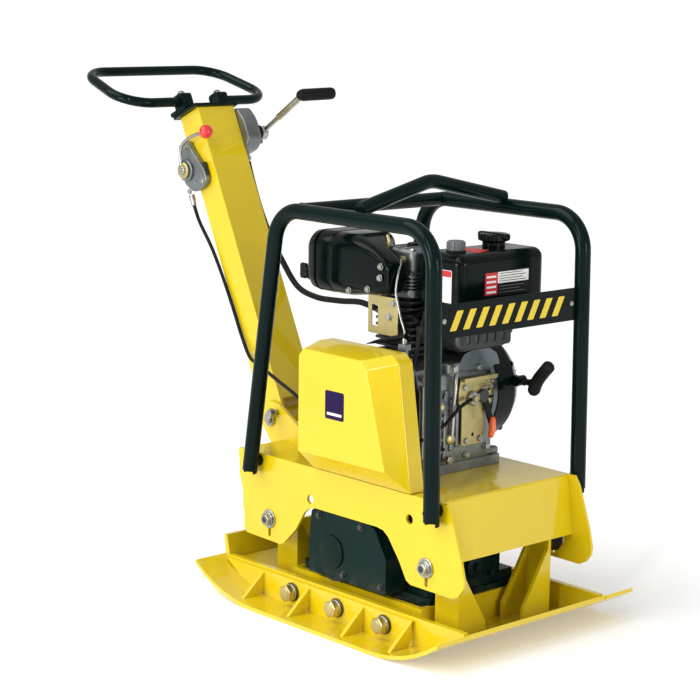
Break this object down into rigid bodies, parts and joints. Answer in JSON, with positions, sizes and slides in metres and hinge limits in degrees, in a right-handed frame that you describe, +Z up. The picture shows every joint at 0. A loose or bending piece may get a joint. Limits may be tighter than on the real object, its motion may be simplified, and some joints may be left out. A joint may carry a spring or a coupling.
{
  "type": "reversible plate compactor",
  "caption": "Walk-behind reversible vibratory plate with widened sole, roll cage, diesel engine, belt-driven exciter and a tilting tow bar with throttle and travel lever.",
  "frame": {"origin": "centre of the flat sole, on the ground", "axes": "+X forward (away from the handle), +Y to the machine's left, +Z up"},
  "size_m": [1.2512, 0.552, 1.0605],
  "materials": {
    "yellow_paint": "gloss",
    "dark_paint": "gloss",
    "exciter_paint": "satin",
    "zinc_steel": "satin",
    "dark_steel": "satin",
    "cast_alloy": "cast",
    "black_gloss": "gloss",
    "black_plastic": "satin",
    "black_rubber": "matte",
    "yellow_zinc": "satin",
    "red_plastic": "gloss"
  },
  "bodies": {
    "machine": {"air_cleaner": "black_gloss", "air_cleaner_bracket": "yellow_zinc", "base_plate": "yellow_paint", "belt_guard": "yellow_paint", "cage_cross_tube": "dark_paint", "cage_hoop_left": "dark_paint", "cage_hoop_right": "dark_paint", "control_plate": "yellow_zinc", "crankcase": "cast_alloy", "cylinder_and_head": "cast_alloy", "deck_frame": "yellow_paint", "drive_belt": "black_rubber", "exciter_housing": "exciter_paint", "exciter_shift_cylinder": "cast_alloy", "extension_bolt_left_1": "zinc_steel", "extension_bolt_left_2": "zinc_steel", "extension_bolt_left_3": "zinc_steel", "extension_bolt_right_1": "zinc_steel", "extension_bolt_right_2": "zinc_steel", "extension_bolt_right_3": "zinc_steel", "extension_plate_left": "yellow_paint", "extension_plate_right": "yellow_paint", "fuel_tank": "black_gloss", "hinge_pin": "zinc_steel", "hydraulic_hose": "black_rubber", "injection_pump": "zinc_steel", "lifting_bar": "dark_paint", "mount_bolt_front_left": "zinc_steel", "mount_bolt_front_right": "zinc_steel", "mount_bolt_rear_left": "zinc_steel", "mount_bolt_rear_right": "zinc_steel", "muffler": "dark_steel", "pulley_cover": "exciter_paint", "recoil_housing": "black_gloss", "shock_mount_front_left": "black_rubber", "shock_mount_front_right": "black_rubber", "shock_mount_rear_left": "black_rubber", "shock_mount_rear_right": "black_rubber", "sign_plate": "dark_paint", "throttle_cable": "black_rubber", "valve_cover": "black_gloss"},
    "handle": {"tow_bar": "yellow_paint", "handle_head": "black_gloss", "handle_loop": "dark_paint", "throttle_box": "cast_alloy", "pump_box": "cast_alloy"},
    "throttle_lever_body": {"throttle_lever": "red_plastic"},
    "travel_lever_body": {"travel_lever": "zinc_steel"},
    "crank": {"crankshaft": "dark_steel"},
    "clutch": {"clutch_drum": "dark_steel"},
    "exciter_rear": {"exciter_shaft_rear": "dark_steel"},
    "exciter_front": {"exciter_shaft_front": "dark_steel"},
    "starter": {"starter_grip": "black_plastic"},
    "tank_cap": {"fuel_cap": "black_gloss"},
    "wing_nut": {"air_cleaner_knob": "black_plastic"},
    "oil_dipstick": {"dipstick": "black_plastic"},
    "decompression": {"decompression_lever": "dark_steel"},
    "engine_speed": {"speed_lever": "dark_steel"},
    "lock_pin": {"handle_lock": "zinc_steel"}
  },
  "joints": [
    {"name": "handle_tilt", "type": "hinge", "parent": "machine", "child": "handle", "pos_m": [-0.372, 0, 0.335], "axis": [0, 1, 0], "range_deg": [-35, 25], "deforming": ["hydraulic_hose", "throttle_cable"]},
    {"name": "throttle_turn", "type": "hinge", "parent": "handle", "child": "throttle_lever_body", "pos_m": [-0.65781, -0.076, 0.84373], "axis": [0, 1, 0], "range_deg": [-30, 30]},
    {"name": "travel_turn", "type": "hinge", "parent": "handle", "child": "travel_lever_body", "pos_m": [-0.60852, 0.106, 0.92218], "axis": [0, 1, 0], "range_deg": [-30, 30]},
    {"name": "crank_spin", "type": "hinge", "parent": "machine", "child": "crank", "pos_m": [0.015, 0, 0.447], "axis": [0, 1, 0], "continuous": true},
    {"name": "clutch_spin", "type": "hinge", "parent": "machine", "child": "clutch", "pos_m": [0.015, -0.16, 0.447], "axis": [0, 1, 0], "continuous": true},
    {"name": "exciter_rear_spin", "type": "hinge", "parent": "machine", "child": "exciter_rear", "pos_m": [-0.045, 0, 0.134], "axis": [0, 1, 0], "continuous": true},
    {"name": "exciter_front_spin", "type": "hinge", "parent": "machine", "child": "exciter_front", "pos_m": [0.045, 0, 0.134], "axis": [0, 1, 0], "continuous": true},
    {"name": "starter_pull", "type": "slide", "parent": "machine", "child": "starter", "axis": [1, 0, 0], "range_m": [0, 0.3], "stiffness_N_per_m": 40},
    {"name": "fuel_cap_turn", "type": "hinge", "parent": "machine", "child": "tank_cap", "pos_m": [0.112, 0.104, 0.76], "axis": [0, 0, 1], "range_deg": [0, 90]},
    {"name": "air_cleaner_nut_turn", "type": "hinge", "parent": "machine", "child": "wing_nut", "pos_m": [-0.22, -0.098, 0.674], "axis": [1, 0, 0], "continuous": true},
    {"name": "dipstick_turn", "type": "hinge", "parent": "machine", "child": "oil_dipstick", "pos_m": [0.12, -0.052, 0.356], "axis": [1, 0, 0], "range_deg": [-350, 0]},
    {"name": "decompression_turn", "type": "hinge", "parent": "machine", "child": "decompression", "pos_m": [-0.01, -0.065, 0.724], "axis": [0, 1, 0], "range_deg": [0, 60]},
    {"name": "engine_speed_turn", "type": "hinge", "parent": "machine", "child": "engine_speed", "pos_m": [0.126, 0.072, 0.448], "axis": [1, 0, 0], "range_deg": [-15, 15]},
    {"name": "lock_pull", "type": "slide", "parent": "machine", "child": "lock_pin", "axis": [0, -1, 0], "range_m": [0, 0.008], "stiffness_N_per_m": 400, "springref_m": -0.004}
  ],
  "couplings": [
    {"joint": "clutch_spin", "follows": "exciter_rear_spin", "ratio": 1},
    {"joint": "exciter_front_spin", "follows": "exciter_rear_spin", "ratio": -1},
    {"joint": "engine_speed_turn", "follows": "throttle_turn", "ratio": 0.5}
  ]
}
